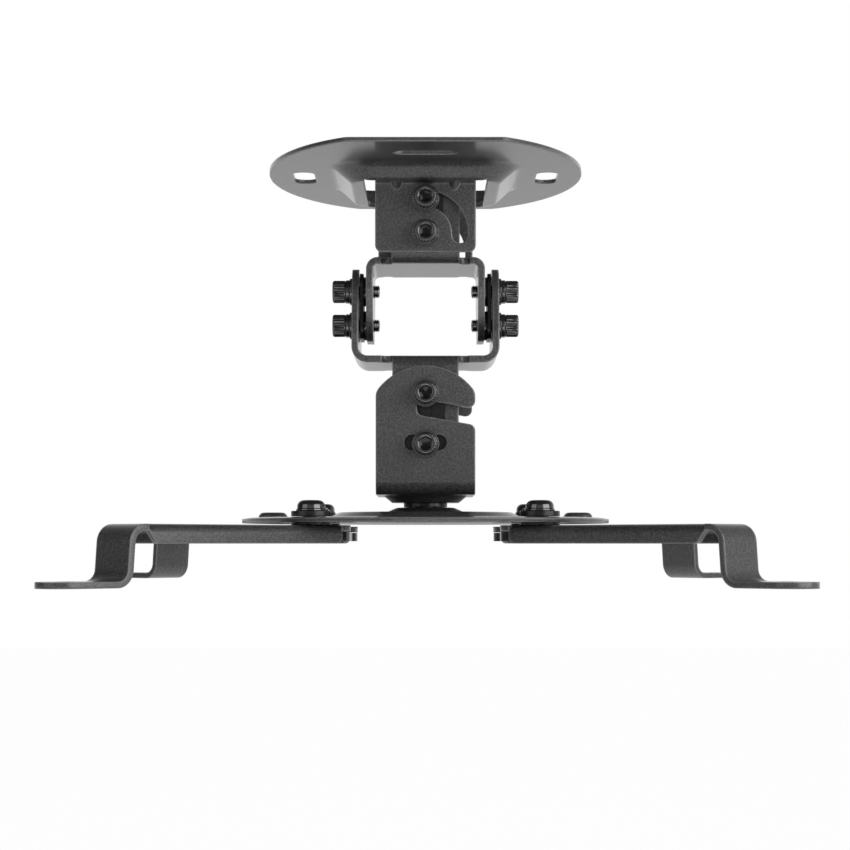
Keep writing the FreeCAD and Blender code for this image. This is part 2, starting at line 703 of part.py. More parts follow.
def spider_plate():
    """Round pressing: raised hub, plateau and disc, with clamp holes and a pressed dimple at each side."""
    half = spider_sheet / 2
    flat_z = spider_top_z - half
    line = [xz(swivel_hole, hub_top_z - half), xz(hub_top_radius, hub_top_z - half),
            xz(hub_base_radius, plateau_z - half), xz(plateau_radius, plateau_z - half),
            xz(plateau_radius + plateau_slope, flat_z), xz(spider_radius - rim_width, flat_z),
            xz(spider_radius, flat_z - rim_droop)]
    body = folded_face(line, spider_bend_radius, spider_sheet, -Y).revolve(Vector(0, 0, 0), Z, 360)
    body = Part.makeSolid(body) if body.ShapeType == "Shell" else body
    for side in (-1, 1):
        length = dimple_outer - dimple_inner
        reach = side * (dimple_inner + dimple_outer) / 2
        outer = stadium(xy, reach, 0, length, dimple_width)
        inner = stadium(xy, reach, 0, length - spider_sheet, dimple_width - spider_sheet)
        outer.translate(Z * spider_top_z)
        inner.translate(Z * spider_z)
        rise = outer.extrude(Z * dimple_rise)
        top_z = spider_top_z + dimple_rise
        top_edges = [edge for edge in rise.Edges if abs(edge.CenterOfMass.z - top_z) < 0.01]
        rise = rise.makeFillet(dimple_round, top_edges)
        body = body.fuse(rise).cut(inner.extrude(Z * dimple_rise))
    for spot, _ in arm_places().values():
        body = body.cut(rod(clamp_hole, spot + Z * spider_z, spot + Z * spider_top_z))
    return body.removeSplitter()


def arm_places():
    """Middle of each arm's clamp in plan, at the corners of a square, and the arm's direction from +X."""
    return {"front_left": (xy(-clamp_side, -clamp_side), 180 + front_left_arm_angle),
            "front_right": (xy(clamp_side, -clamp_side), -front_right_arm_angle),
            "rear_left": (xy(-clamp_side, clamp_side), 180 - rear_arm_angle),
            "rear_right": (xy(clamp_side, clamp_side), rear_arm_angle)}


def arm_strip():
    """The arm's bar, leaning drop and foot, made along +X."""
    half = arm_sheet / 2
    bar_z = arm_top_z - half
    step_x = arm_drop_face - half
    line = [xz(arm_inner, bar_z), xz(step_x, bar_z), xz(step_x + arm_drop_lean, foot_z + half),
            xz(arm_tip, foot_z + half)]
    strip = through(folded_face(line, arm_bend_radius, arm_sheet, -Y), Y, arm_width / 2)
    plan = stadium(xy, (arm_inner + arm_tip) / 2, 0, arm_tip - arm_inner, arm_width)
    return strip.common(through(plan, Z, -foot_z + arm_sheet))


def arm_channel():
    """The bar's flanged stretch, whose flanges sweep up into the bar before the drop."""
    side_y = arm_width / 2 - arm_sheet / 2
    bar_z = arm_top_z - arm_sheet / 2
    low_z = arm_top_z - arm_flange_height
    line = [yz(-side_y, low_z), yz(-side_y, bar_z), yz(side_y, bar_z), yz(side_y, low_z)]
    section = folded_face(line, arm_flange_bend, arm_sheet, X)
    section.translate(X * arm_flange_start)
    channel = section.extrude(X * (arm_flange_end - arm_flange_start))
    outline = rounded_loop([xz(arm_flange_start, low_z), xz(arm_flange_end - arm_flange_slope, low_z),
                            xz(arm_flange_end, arm_top_z - arm_sheet), xz(arm_flange_end, arm_top_z),
                            xz(arm_flange_start, arm_top_z)], [arm_flange_corner, arm_flange_corner, 0, 0, 0])
    return channel.common(through(outline, Y, arm_width))


def arm(spot, angle):
    """One arm, swung on its clamp: flanged bar with a long slot, a drop and a foot with a screw hole."""
    flanged = Part.makeBox(arm_flange_end - arm_flange_start, arm_width, arm_sheet)
    flanged.translate(Vector(arm_flange_start, -arm_width / 2, arm_top_z - arm_sheet))
    body = arm_strip().cut(flanged).fuse(arm_channel())
    length = arm_slot_outer - arm_slot_inner
    slot = stadium(xy, arm_slot_inner + length / 2, 0, length, 2 * clamp_hole)
    slot.translate(Z * arm_top_z)
    body = body.cut(through(slot, Z, 2 * arm_sheet))
    hole = rod(foot_hole_radius, xz(foot_hole_reach, foot_z), xz(foot_hole_reach, foot_z + arm_sheet))
    body = body.cut(hole).removeSplitter()
    body.translate(X * -clamp_reach)
    body.rotate(Vector(0, 0, 0), Z, angle)
    body.translate(spot)
    return body


def clamp_levels():
    """Levels in one clamp: foot of the spacer, the washer and the head, and top of the nut."""
    spacer_z = spider_top_z + axial_gap
    washer_z = spacer_z + clamp_spacer_height
    head_z = washer_z + clamp_washer_sheet
    nut_top_z = arm_top_z - arm_sheet - axial_gap
    return spacer_z, washer_z, head_z, nut_top_z


def clamp_screw(spot):
    """Pan-headed screw that holds an arm under the spider plate."""
    head_z = clamp_levels()[2]
    tail_z = clamp_levels()[3] - clamp_nut_height - clamp_bolt_tail
    head = Part.makeCylinder(clamp_head_radius, clamp_head_height, Z * head_z)
    top_z = head_z + clamp_head_height
    head = head.makeFillet(clamp_head_round, [edge for edge in head.Edges
                                              if abs(edge.CenterOfMass.z - top_z) < 0.01])
    screw = head.fuse(rod(clamp_bolt_radius, Z * tail_z, Z * head_z)).removeSplitter()
    screw.translate(spot)
    return screw


def clamp_nut(spot, angle):
    """Tapped plate with round ends that slides inside the arm's channel."""
    seat_z = clamp_levels()[3]
    nut_z = seat_z - clamp_nut_height
    outline = stadium(xy, 0, 0, clamp_nut_length, clamp_nut_width)
    outline.translate(Z * nut_z)
    nut = outline.extrude(Z * clamp_nut_height)
    nut = nut.cut(rod(clamp_bolt_radius + thread_gap, Z * nut_z, Z * seat_z))
    nut.rotate(Vector(0, 0, 0), Z, angle)
    nut.translate(spot)
    return nut


def clamp_nodes(place, spot, angle):
    """Screw, washers, spacer, pad and nut of one arm clamp."""
    spacer_z, washer_z = clamp_levels()[:2]
    pad_z = spider_z - axial_gap - clamp_pad_sheet
    return {
        "clamp_screw_" + place: clamp_screw(spot),
        "clamp_washer_" + place: ring(clamp_washer_radius, clamp_hole, clamp_washer_sheet,
                                      spot + Z * washer_z, Z),
        "clamp_spacer_" + place: ring(clamp_spacer_radius, clamp_hole, clamp_spacer_height,
                                      spot + Z * spacer_z, Z),
        "clamp_pad_" + place: ring(clamp_spacer_radius, clamp_hole, clamp_pad_sheet, spot + Z * pad_z, Z),
        "clamp_nut_" + place: clamp_nut(spot, angle),
    }


def swivel_nodes():
    """Pieces on the swivel axis."""
    head_washer_z, nut_washer_z = swivel_levels()[1:3]
    return {
        "swivel_bolt": swivel_bolt(),
        "swivel_head_washer": ring(swivel_washer_radius, swivel_hole, swivel_head_washer_sheet,
                                   Z * head_washer_z, Z),
        "swivel_neck_spacer": ring(neck_spacer_radius, swivel_hole, neck_spacer_height,
                                   Z * (emboss_z - neck_spacer_height), Z),
        "swivel_nut_washer": ring(swivel_washer_radius, swivel_hole, swivel_nut_washer_sheet,
                                  Z * nut_washer_z, Z),
        "swivel_nut": swivel_nut(),
    }


def fastener_nodes():
    """Screws and washers of the lug, side and hook joints."""
    lug_grip = lug_face_y - upper_ear_face_y + yoke_sheet
    side_grip = lower_leg_face_x - upper_leg_face_x + yoke_sheet
    hook_grip = bracket_face_y - lower_ear_face_y + yoke_sheet
    joints = (
        ("lug_pivot", "lug", Y, ("front", "rear"), lug_face_y, lug_pivot_z, lug_grip),
        ("lug_lock", "lug", Y, ("front", "rear"), lug_face_y, lug_lock_z, lug_grip),
        ("side_pivot", "side", X, ("left", "right"), lower_leg_face_x, side_pivot_z, side_grip),
        ("side_lock", "side", X, ("left", "right"), lower_leg_face_x, side_lock_z, side_grip),
        ("hook", "hook", Y, ("front", "rear"), bracket_face_y, hook_z, hook_grip),
        ("tilt_lock", "hook", Y, ("front", "rear"), bracket_face_y, tilt_lock_z, hook_grip),
    )
    nodes = {}
    washers = {}
    for name, group, axis, places, face, level, grip in joints:
        for side, place in zip((-1, 1), places):
            screw, flat, spring = joint_fastener(axis * (side * face) + Z * level, axis * side, grip)
            nodes[name + "_screw_" + place] = screw
            washers.setdefault(group + "_flat_washers", []).append(flat)
            washers.setdefault(group + "_spring_washers", []).append(spring)
    for name, rings in washers.items():
        nodes[name] = Part.makeCompound(rings)
    return nodes


def all_nodes():
    nodes = {
        "ceiling_plate": ceiling_plate(),
        "upper_yoke": upper_yoke(),
        "lower_yoke": lower_yoke(),
        "lug_spacer_front": lug_spacer(-1),
        "lug_spacer_rear": lug_spacer(1),
        "side_spacer_left": side_spacer(-1),
        "side_spacer_right": side_spacer(1),
        "side_spacer_washers": Part.makeCompound(side_spacer_bosses(-1) + side_spacer_bosses(1)),
        "hook_spacer_front": hook_spacer(-1),
        "hook_spacer_rear": hook_spacer(1),
        "swivel_bracket": swivel_bracket(),
        "spider_plate": spider_plate(),
    }
    nodes.update(fastener_nodes())
    nodes.update(swivel_nodes())
    for place, (spot, angle) in arm_places().items():
        nodes.update(clamp_nodes(place, spot, angle))
        nodes["arm_" + place] = arm(spot, angle)
    return nodes


os.makedirs("parts", exist_ok=True)
for node_name, node_shape in all_nodes().items():
    node_shape.exportStep("parts/" + node_name + ".step")
    print(node_name, len(node_shape.Solids), node_shape.isValid(), round(node_shape.Volume))
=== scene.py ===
import json
import math

import bmesh
import bpy
from mathutils import Matrix, Vector


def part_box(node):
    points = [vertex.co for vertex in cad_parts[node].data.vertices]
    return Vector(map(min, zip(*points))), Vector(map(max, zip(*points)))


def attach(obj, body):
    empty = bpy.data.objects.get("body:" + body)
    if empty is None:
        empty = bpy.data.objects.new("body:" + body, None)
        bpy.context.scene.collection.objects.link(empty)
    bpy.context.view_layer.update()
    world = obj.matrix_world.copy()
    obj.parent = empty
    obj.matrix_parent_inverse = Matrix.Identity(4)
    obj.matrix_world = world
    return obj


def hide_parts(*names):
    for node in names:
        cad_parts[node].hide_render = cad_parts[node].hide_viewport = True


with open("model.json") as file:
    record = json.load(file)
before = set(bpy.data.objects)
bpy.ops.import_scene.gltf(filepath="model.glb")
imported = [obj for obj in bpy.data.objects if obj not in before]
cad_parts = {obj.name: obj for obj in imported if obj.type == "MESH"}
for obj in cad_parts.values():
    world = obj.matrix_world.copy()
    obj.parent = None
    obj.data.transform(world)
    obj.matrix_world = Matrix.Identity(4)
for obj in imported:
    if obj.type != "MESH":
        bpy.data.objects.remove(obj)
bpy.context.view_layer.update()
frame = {"nodes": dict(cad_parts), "record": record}

# Projector ceiling mount. Metres, +Z up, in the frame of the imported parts.
MM = 0.001

# Camera: level, in front of the mount and as high as its feet
CAMERA_DISTANCE = 0.830
CAMERA_HEIGHT = -0.1391
FOCAL_PIXELS = 2200
PICTURE_PIXELS = 850
HORIZON_BELOW_MIDDLE = 118
MIDDLE_RIGHT_OF_CENTRE = 0.5
SENSOR_WIDTH = 36
NEAR_CLIP = 0.01

# Lamps: name, angle to the right of the camera's direction, lift angle, width, height and power
LAMP_TARGET = (0, 0, -0.08)
LAMP_DISTANCE = 1.25
SOFTBOXES = (("key", 52, 12, 1.25, 0.9, 8.5),
             ("fill", -52, 12, 0.9, 0.9, 2.2),
             ("low", 0, -24, 0.9, 0.4, 1.4))

# Studio: where its light falls off towards one side, and the level there
UP = (0, 0, 1)
LEFT = (-1, 0, 0)
CAMERA_SIDE = (0, -1, 0)
DIFFUSE_LIGHT = 0.42
OVERHEAD_FALLOFF = (0.1, 0.75)
OVERHEAD_LEVEL = 0.15
LEFT_SIDE_FALLOFF = (0.4, 0.9)
LEFT_SIDE_LEVEL = 0.15
CAMERA_SIDE_FALLOFF = (-0.85, -0.25)
CAMERA_SIDE_LEVEL = 0.35

# Floor
FLOOR_Z = -0.75
FLOOR_HALF = 12.0
FLOOR_GREY = 0.85
FLOOR_ROUGHNESS = 0.9
FLOOR_GLOW = 0.87
FLOOR_GLOW_MIRRORED = 0.48
NEAR_FLOOR_FALLOFF = (-0.52, -0.46)
NEAR_FLOOR_LEVEL = 0.3

# Edges of the sheets and of the small turned pieces
SHEET_EDGE = 0.5 * MM
SMALL_EDGE = 0.16 * MM
EDGE_ANGLE = math.radians(35)
EDGE_SEGMENTS = 2
WELD_DISTANCE = 0.001 * MM
NORMALS_WEIGHT = 100

# Powder coat: a grain of greys under a smooth skin, rounded at its edges, with a painted highlight that
# turns its colour light grey along them
COAT_GRAIN_SCALE = 1350
COAT_GRAIN_DETAIL = 3
COAT_GRAIN_CONTRAST = 0.65
COAT_GREYS = (0.020, 0.098)
COAT_GREY_SPREAD = (0.38, 0.64)
COAT_ROUGHNESS = (0.46, 0.54)
COAT_GLOSS = 0.8
COAT_RELIEF = 0.7
COAT_RELIEF_DEPTH = 0.16 * MM
SKIN_WEIGHT = 0.9
SKIN_ROUGHNESS = 0.18
COAT_EDGE = 1.1 * MM
COAT_EDGE_SAMPLES = 6
# Painted highlight along the edges: how far the rounded normal bends before the colour turns light, and
# that light grey
COAT_EDGE_HIGHLIGHT_BEND = (0.97, 0.74)
COAT_EDGE_HIGHLIGHT_GREY = 0.42

# Matt upper face of the ceiling plate, by how far a face looks up
MATT_FACING = (0.3, 0.8)
MATT_GLOSS = 0.03
MATT_SKIN_WEIGHT = 0.0

# Black steel of the screws, washers and nuts
STEEL_STAIN_SCALE = 900
STEEL_STAIN_DETAIL = 3
STEEL_GREYS = (0.007, 0.018)
STEEL_ROUGHNESS = (0.09, 0.16)
STEEL_IOR = 1.8
STEEL_GLOSS = 0.85
STEEL_RELIEF = 0.15
FINE_RELIEF_DEPTH = 0.04 * MM
SOCKET_GLOSS = 0.2
SOCKET_SHADE_RADIUS = 2.5 * MM
BARE_THREAD_BELOW = -8.3 * MM
BARE_STEEL_GREY = 0.45

# Black nylon of the friction plates, spacers and pads
NYLON_GRAIN_SCALE = 1200
NYLON_GRAIN_DETAIL = 2
NYLON_GREYS = (0.008, 0.016)
NYLON_ROUGHNESS = (0.24, 0.34)
NYLON_RELIEF = 0.1

# Turned pieces
SEGMENTS = 144
SHARP_ANGLE = math.radians(40)
SCREW_TURN_STEP = 23

# Threads, in shares of the pitch
THREAD_ROWS = 6
THREAD_DEPTH = 0.5
THREAD_CREST = 0.15
THREAD_FLANK = 0.7
THREAD_START = 0.4
THREAD_END = 0.3
TIP_INSET = 0.62
TIP_CHAMFER_WIDTH = 0.3
TIP_CHAMFER_HEIGHT = 0.25
LEAST_PLAIN_SHANK = 0.5 * MM
PLAIN_SHANK_END = 0.3 * MM

# Socket-cap screws; the pairs in each profile are a height and a step out from a radius, in mm
CAP_HEAD_RADIUS = 4.2 * MM
CAP_HEAD_HEIGHT = 5.0 * MM
CAP_RADIUS = 2.45 * MM
CAP_PITCH = 0.8 * MM
CAP_THREAD_LENGTH = 7.2 * MM
SOCKET_APOTHEM = 2.0 * MM
SOCKET_DEPTH = 3.4 * MM
KNURLS = 24
KNURL_DEPTH = 0.28 * MM
CAP_NECK = ((0, 0.2),)
CAP_FOOT = ((0, -0.3), (0.25, 0), (0.5, 0))
KNURL_START = ((0.62, 0),)
KNURL_END = ((-0.75, 0), (-0.5, -0.06), (-0.15, -0.3))
CAP_FACE = ((0, -0.65),)
SOCKET_MOUTH = ((0, 0.62), (-0.15, 0.4))
SOCKET_START = ((-0.35, 0),)
SOCKET_END = ((0, 0), (-0.5, -1.6))

# Pan-headed clamp screws; the recess narrows by shares of its depth, reach and width
PAN_HEAD_RADIUS = 5.05 * MM
PAN_HEAD_HEIGHT = 3.1 * MM
PAN_ROUND = 2.3 * MM
PAN_ROUND_STEPS = 12
PAN_RADIUS = 2.95 * MM
PAN_PITCH = 1.0 * MM
PAN_THREAD_LENGTH = 6.0 * MM
RECESS_REACH = 2.5 * MM
RECESS_HALF_WIDTH = 0.6 * MM
RECESS_DEPTH = 1.9 * MM
PAN_NECK = ((0, 0.2),)
PAN_FOOT = ((0, -0.2), (0.15, 0))
RECESS_TAPER = ((0, 1, 1), (0.4, 0.85, 0.9), (1, 0.4, 0.7))

# Hexagon-headed swivel bolt; its corners are pairs of a height and the radius that trims them
HEX_HEAD_APOTHEM = 6.5 * MM
HEX_HEAD_HEIGHT = 2.4 * MM
HEX_RADIUS = 4.0 * MM
HEX_PITCH = 1.25 * MM
HEX_THREAD_LENGTH = 11.0 * MM
HEX_NECK = ((0, 0.3),)
HEX_FOOT = ((0, -0.1), (0.2, -0.1))
HEX_CORNERS = ((0.2, 7.35), (1.8, 7.4), (2.1, 6.9))
HEX_FACE = ((0, -0.15), (-0.1, -2.6), (-0.12, -6.3))

nodes = frame["nodes"]
behaviour = frame["record"]["behaviour"]
body_of_node = {node: body for body, members in behaviour["bodies"].items() for node in members}
slot_of_node = {part["node"]: part["material_slot"] for part in frame["record"]["subparts"]}


def node_group(material):
    """Node tree of a material, with its shader and its output."""
    material.use_nodes = True
    tree = material.node_tree
    return tree, tree.nodes["Principled BSDF"], tree.nodes["Material Output"]


def feed(tree, socket, value):
    """Link a node's output to a socket, or set a number on the socket itself."""
    if isinstance(value, bpy.types.NodeSocket):
        tree.links.new(value, socket)
    else:
        socket.default_value = value


def arithmetic(tree, operation, first, second):
    """Output of a math node that works on two outputs or numbers."""
    node = tree.nodes.new("ShaderNodeMath")
    node.operation = operation
    feed(tree, node.inputs[0], first)
    feed(tree, node.inputs[1], second)
    return node.outputs[0]


def vector_result(tree, operation, output, first, second=None):
    """Named output of a vector math node that works on one vector or on two."""
    node = tree.nodes.new("ShaderNodeVectorMath")
    node.operation = operation
    feed(tree, node.inputs[0], first)
    if second is not None:
        feed(tree, node.inputs[1], second)
    return node.outputs[output]


def rescale(tree, value, start, end, low, high):
    """Value taken from one range to another and held at its ends."""
    node = tree.nodes.new("ShaderNodeMapRange")
    limits = {"From Min": start, "From Max": end, "To Min": low, "To Max": high}
    for name, limit in limits.items():
        node.inputs[name].default_value = limit
    tree.links.new(value, node.inputs["Value"])
    return node.outputs["Result"]


def noise(tree, scale, detail, contrast=0.5):
    """Noise texture over the object's own coordinates."""
    coordinates = tree.nodes.new("ShaderNodeTexCoord")
    texture = tree.nodes.new("ShaderNodeTexNoise")
    texture.inputs["Scale"].default_value = scale
    texture.inputs["Detail"].default_value = detail
    texture.inputs["Roughness"].default_value = contrast
    tree.links.new(coordinates.outputs["Object"], texture.inputs["Vector"])
    return texture.outputs["Fac"]


def grey(level):
    """Opaque grey of one level."""
    return (level, level, level, 1)


def ramp(tree, source, levels, spread=(0.3, 0.7)):
    """Grey that passes between two levels over a part of the source's range."""
    node = tree.nodes.new("ShaderNodeValToRGB")
    for element, level, position in zip(node.color_ramp.elements, levels, spread):
        element.color = grey(level)
        element.position = position
    tree.links.new(source, node.inputs["Fac"])
    return node.outputs["Color"]


def overlay(tree, share, colour, level):
    """Colour that gives way to a plain grey where a share is 1."""
    node = tree.nodes.new("ShaderNodeMix")
    node.data_type = "RGBA"
    node.inputs["B"].default_value = grey(level)
    tree.links.new(share, node.inputs["Factor"])
    tree.links.new(colour, node.inputs["A"])
    return node.outputs["Result"]


def bump(tree, shader, source, strength, distance):
    """Relief of a shader's surface from a texture."""
    node = tree.nodes.new("ShaderNodeBump")
    node.inputs["Strength"].default_value = strength
    node.inputs["Distance"].default_value = distance
    tree.links.new(source, node.inputs["Height"])
    tree.links.new(node.outputs["Normal"], shader.inputs["Normal"])
    return node


def split_axes(tree, output):
    """X, Y and Z of one kind of texture coordinates, and those coordinates themselves."""
    coordinates = tree.nodes.new("ShaderNodeTexCoord")
    axes = tree.nodes.new("ShaderNodeSeparateXYZ")
    tree.links.new(coordinates.outputs[output], axes.inputs["Vector"])
    return axes.outputs, coordinates.outputs[output]


def powder_coat(name, matt_top=False):
    """Satin charcoal powder coat with a fine orange-peel grain under a smooth skin, and a painted
    highlight along its edges; a top can be matt.
    """
    material = bpy.data.materials.new(name)
    tree, shader, _ = node_group(material)
    grain = noise(tree, COAT_GRAIN_SCALE, COAT_GRAIN_DETAIL, COAT_GRAIN_CONTRAST)
    tree.links.new(ramp(tree, grain, COAT_ROUGHNESS), shader.inputs["Roughness"])
    shader.inputs["Specular IOR Level"].default_value = COAT_GLOSS
    shader.inputs["Coat Weight"].default_value = SKIN_WEIGHT
    shader.inputs["Coat Roughness"].default_value = SKIN_ROUGHNESS
    edges = tree.nodes.new("ShaderNodeBevel")
    edges.samples = COAT_EDGE_SAMPLES
    edges.inputs["Radius"].default_value = COAT_EDGE
    rounded = edges.outputs["Normal"]
    relief = bump(tree, shader, grain, COAT_RELIEF, COAT_RELIEF_DEPTH)
    tree.links.new(rounded, relief.inputs["Normal"])
    tree.links.new(rounded, shader.inputs["Coat Normal"])
    surface = tree.nodes.new("ShaderNodeNewGeometry")
    # Painted highlight: the base colour turns light grey where the rounded normal bends away from the
    # face, along every edge
    bend = vector_result(tree, "DOT_PRODUCT", "Value", rounded, surface.outputs["Normal"])
    edge_highlight = rescale(tree, bend, *COAT_EDGE_HIGHLIGHT_BEND, 0.0, 1.0)
    colour = ramp(tree, grain, COAT_GREYS, COAT_GREY_SPREAD)
    tree.links.new(overlay(tree, edge_highlight, colour, COAT_EDGE_HIGHLIGHT_GREY), shader.inputs["Base Color"])
    if matt_top:
        axes, _ = split_axes(tree, "Normal")
        skin = rescale(tree, axes["Z"], *MATT_FACING, SKIN_WEIGHT, MATT_SKIN_WEIGHT)
        tree.links.new(skin, shader.inputs["Coat Weight"])
        gloss = rescale(tree, axes["Z"], *MATT_FACING, COAT_GLOSS, MATT_GLOSS)
        tree.links.new(gloss, shader.inputs["Specular IOR Level"])
    return material


def black_steel(name, screw=False):
    """Glossy black zinc; a screw has a darker socket and a thread whose end is bare."""
    material = bpy.data.materials.new(name)
    tree, shader, _ = node_group(material)
    stain = noise(tree, STEEL_STAIN_SCALE, STEEL_STAIN_DETAIL)
    colour = ramp(tree, stain, STEEL_GREYS)
    tree.links.new(ramp(tree, stain, STEEL_ROUGHNESS), shader.inputs["Roughness"])
    shader.inputs["IOR"].default_value = STEEL_IOR
    shader.inputs["Specular IOR Level"].default_value = STEEL_GLOSS
    bump(tree, shader, stain, STEEL_RELIEF, FINE_RELIEF_DEPTH)
    if screw:
        axes, place = split_axes(tree, "Object")
        across = vector_result(tree, "MULTIPLY", "Vector", place, (1, 1, 0))
        reach = vector_result(tree, "LENGTH", "Value", across)
        inside = arithmetic(tree, "LESS_THAN", reach, SOCKET_SHADE_RADIUS)
        above = arithmetic(tree, "GREATER_THAN", axes["Z"], 0.0)
        socket = arithmetic(tree, "MULTIPLY", inside, above)
        gloss = rescale(tree, socket, 0.0, 1.0, STEEL_GLOSS, SOCKET_GLOSS)
        tree.links.new(gloss, shader.inputs["Specular IOR Level"])
        bare = arithmetic(tree, "LESS_THAN", axes["Z"], BARE_THREAD_BELOW)
        tree.links.new(bare, shader.inputs["Metallic"])
        colour = overlay(tree, bare, colour, BARE_STEEL_GREY)
    tree.links.new(colour, shader.inputs["Base Color"])
    return material


def black_nylon():
    """Matte black of the friction plates, spacers and pads."""
    material = bpy.data.materials.new("black_nylon")
    tree, shader, _ = node_group(material)
    grain = noise(tree, NYLON_GRAIN_SCALE, NYLON_GRAIN_DETAIL)
    tree.links.new(ramp(tree, grain, NYLON_GREYS), shader.inputs["Base Color"])
    tree.links.new(ramp(tree, grain, NYLON_ROUGHNESS), shader.inputs["Roughness"])
    bump(tree, shader, grain, NYLON_RELIEF, FINE_RELIEF_DEPTH)
    return material


MATERIALS = {"powder_coat": powder_coat("powder_coat"), "black_steel": black_steel("black_steel"),
             "black_nylon": black_nylon()}
CEILING_COAT = powder_coat("ceiling_coat", matt_top=True)
SCREW_STEEL = black_steel("screw_steel", screw=True)


def round_edges(piece, width):
    """Break the sharp edges of a piece, which keeps its box."""
    weld = piece.modifiers.new("weld", "WELD")
    weld.merge_threshold = WELD_DISTANCE
    bevel = piece.modifiers.new("edges", "BEVEL")
    bevel.width = width
    bevel.segments = EDGE_SEGMENTS
    bevel.limit_method = "ANGLE"
    bevel.angle_limit = EDGE_ANGLE
    bevel.use_clamp_overlap = True
    bevel.harden_normals = False
    smooth = piece.modifiers.new("normals", "WEIGHTED_NORMAL")
    smooth.keep_sharp = False
    smooth.weight = NORMALS_WEIGHT


def finish_nodes():
    """Give each piece its material and its broken edges."""
    for name, slot in slot_of_node.items():
        piece = nodes[name]
        material = CEILING_COAT if name == "ceiling_plate" else MATERIALS[slot]
        if not piece.material_slots:
            piece.data.materials.append(material)
        for place in piece.material_slots:
            place.material = material
        round_edges(piece, SHEET_EDGE if slot == "powder_coat" else SMALL_EDGE)


def hexagon(apothem):
    """Radius of a hexagon by angle."""
    return lambda angle: apothem / math.cos(angle % (math.pi / 3) - math.pi / 6)


def trimmed_hexagon(limit):
    """Radius of the bolt head's hexagon by angle, with its corners cut round."""
    return lambda angle: min(hexagon(HEX_HEAD_APOTHEM)(angle), limit)


def cross(reach, half_width):
    """Radius of a cross-shaped recess by angle."""
    def rule(angle):
        off = abs((angle + math.pi / 4) % (math.pi / 2) - math.pi / 4)
        if math.tan(off) < half_width / reach:
            return reach / math.cos(off)
        return half_width / math.sin(off)
    return rule


def knurl(radius):
    """Radius of a finely grooved rim by angle."""
    return lambda angle: radius - KNURL_DEPTH * (0.5 + 0.5 * math.cos(KNURLS * angle))


def profile(level, radius, pairs, rule=float):
    """Rings at heights from a level, each with a step out from a radius, round or by a rule."""
    return [(level + height * MM, rule(radius + step * MM)) for height, step in pairs]


def thread_rings(radius, pitch, start, length):
    """Rings of a screw thread that winds up from a level."""
    rings = []
    for row in range(round(length / pitch * THREAD_ROWS) + 1):
        height = start + row * pitch / THREAD_ROWS

        def rule(angle, height=height):
            turn = (height / pitch - angle / (2 * math.pi)) % 1
            flank = min(max((abs(2 * turn - 1) - THREAD_CREST) / THREAD_FLANK, 0), 1)
            return radius - THREAD_DEPTH * pitch * flank
        rings.append((height, rule))
    return rings


def shank_rings(radius, pitch, length, threaded):
    """Rings of a threaded shank from its tip up to the head's seat at the origin."""
    tip = radius - TIP_INSET * pitch
    rings = [(-length, tip - TIP_CHAMFER_WIDTH * pitch), (-length + TIP_CHAMFER_HEIGHT * pitch, tip)]
    start = -length + THREAD_START * pitch
    rings += thread_rings(radius, pitch, start, threaded)
    plain = start + threaded + THREAD_END * pitch
    if plain < -LEAST_PLAIN_SHANK:
        rings += [(plain, radius), (-PLAIN_SHANK_END, radius)]
    return rings


def lathe(name, rings):
    """Turned piece along +Z, from its lowest ring to its last; a radius may be a rule by angle."""
    shape = bmesh.new()
    rows = []
    for height, rule in rings:
        row = []
        for step in range(SEGMENTS):
            angle = 2 * math.pi * step / SEGMENTS
            reach = rule(angle) if callable(rule) else rule
            row.append(shape.verts.new((reach * math.cos(angle), reach * math.sin(angle), height)))
        rows.append(row)
    for lower, upper in zip(rows, rows[1:]):
        for step in range(SEGMENTS):
            after = (step + 1) % SEGMENTS
            shape.faces.new((lower[step], lower[after], upper[after], upper[step]))
    shape.faces.new(list(reversed(rows[0])))
    shape.faces.new(rows[-1])
    mesh = bpy.data.meshes.new(name)
    shape.to_mesh(mesh)
    shape.free()
    mesh.shade_smooth()
    mesh.set_sharp_from_angle(angle=SHARP_ANGLE)
    return mesh


def cap_screw(length):
    """Socket-cap screw with a knurled head that stands on the origin."""
    top = CAP_HEAD_HEIGHT
    rings = shank_rings(CAP_RADIUS, CAP_PITCH, length, min(CAP_THREAD_LENGTH, length - CAP_PITCH))
    rings += profile(0, CAP_RADIUS, CAP_NECK)
    rings += profile(0, CAP_HEAD_RADIUS, CAP_FOOT)
    rings += profile(0, CAP_HEAD_RADIUS, KNURL_START, knurl)
    rings += profile(top, CAP_HEAD_RADIUS, KNURL_END, knurl)
    rings += profile(top, CAP_HEAD_RADIUS, CAP_FACE)
    rings += profile(top, SOCKET_APOTHEM, SOCKET_MOUTH)
    rings += profile(top, SOCKET_APOTHEM, SOCKET_START, hexagon)
    rings += profile(top - SOCKET_DEPTH, SOCKET_APOTHEM, SOCKET_END, hexagon)
    return lathe("cap_screw", rings)


def pan_screw(length):
    """Pan-headed screw with a cross recess; the head stands on the origin."""
    top = PAN_HEAD_HEIGHT
    rings = shank_rings(PAN_RADIUS, PAN_PITCH, length, PAN_THREAD_LENGTH)
    rings += profile(0, PAN_RADIUS, PAN_NECK)
    rings += profile(0, PAN_HEAD_RADIUS, PAN_FOOT)
    for step in range(PAN_ROUND_STEPS + 1):
        lift = math.pi / 2 * step / PAN_ROUND_STEPS
        height = top - PAN_ROUND * (1 - math.sin(lift))
        rings.append((height, PAN_HEAD_RADIUS - PAN_ROUND * (1 - math.cos(lift))))
    for deep, long, wide in RECESS_TAPER:
        rings.append((top - deep * RECESS_DEPTH, cross(long * RECESS_REACH, wide * RECESS_HALF_WIDTH)))
    return lathe("pan_screw", rings)


